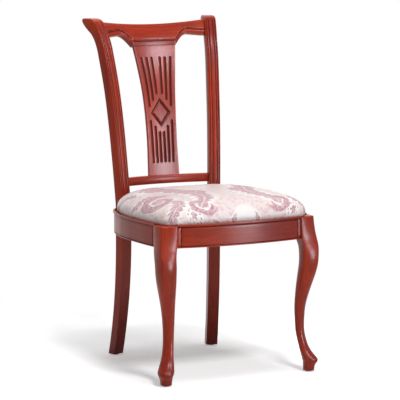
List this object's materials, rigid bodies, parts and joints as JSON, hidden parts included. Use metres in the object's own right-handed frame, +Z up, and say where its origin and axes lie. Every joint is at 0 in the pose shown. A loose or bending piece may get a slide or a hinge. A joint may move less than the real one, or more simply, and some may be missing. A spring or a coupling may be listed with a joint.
{
  "type": "baroque dining chair",
  "caption": "Wooden dining chair with cabriole front legs, swept posts, scalloped curved crest rail, fluted splat and upholstered drop-on seat.",
  "frame": {"origin": "centre of the chair's outer box, on the floor under the glides", "axes": "+Z up, -Y the way the seat faces, +X to the right as seen from the front; left and right in the node names are as seen from the front"},
  "size_m": [0.5098, 0.62, 0.997],
  "materials": {
    "lacquered_wood": "red-brown stain under gloss lacquer",
    "bare_wood": "planed, unfinished",
    "plywood": "sanded",
    "foam": "open-cell upholstery foam",
    "damask": "satin damask weave",
    "lining": "matt non-woven cloth",
    "zinc_steel": "zinc plated",
    "nylon": "moulded"
  },
  "bodies": {
    "root": {"post_left": "lacquered_wood", "post_right": "lacquered_wood", "crest_rail": "lacquered_wood", "lower_back_rail": "lacquered_wood", "splat": "lacquered_wood", "front_leg_left": "lacquered_wood", "front_leg_right": "lacquered_wood", "front_rail": "lacquered_wood", "side_rail_left": "lacquered_wood", "side_rail_right": "lacquered_wood", "rear_seat_rail": "lacquered_wood", "corner_block_front_left": "bare_wood", "corner_block_front_right": "bare_wood", "corner_block_rear_left": "bare_wood", "corner_block_rear_right": "bare_wood", "block_screw_front_left_1": "zinc_steel", "block_screw_front_left_2": "zinc_steel", "block_screw_front_right_1": "zinc_steel", "block_screw_front_right_2": "zinc_steel", "block_screw_rear_left_1": "zinc_steel", "block_screw_rear_left_2": "zinc_steel", "block_screw_rear_right_1": "zinc_steel", "block_screw_rear_right_2": "zinc_steel", "seat_screw_front_left": "zinc_steel", "seat_screw_front_right": "zinc_steel", "seat_screw_rear_left": "zinc_steel", "seat_screw_rear_right": "zinc_steel", "seat_cover": "damask", "seat_board": "plywood", "seat_pad": "foam", "dust_cloth": "lining", "glide_front_left": "nylon", "glide_front_right": "nylon", "glide_rear_left": "nylon", "glide_rear_right": "nylon"}
  },
  "joints": []
}
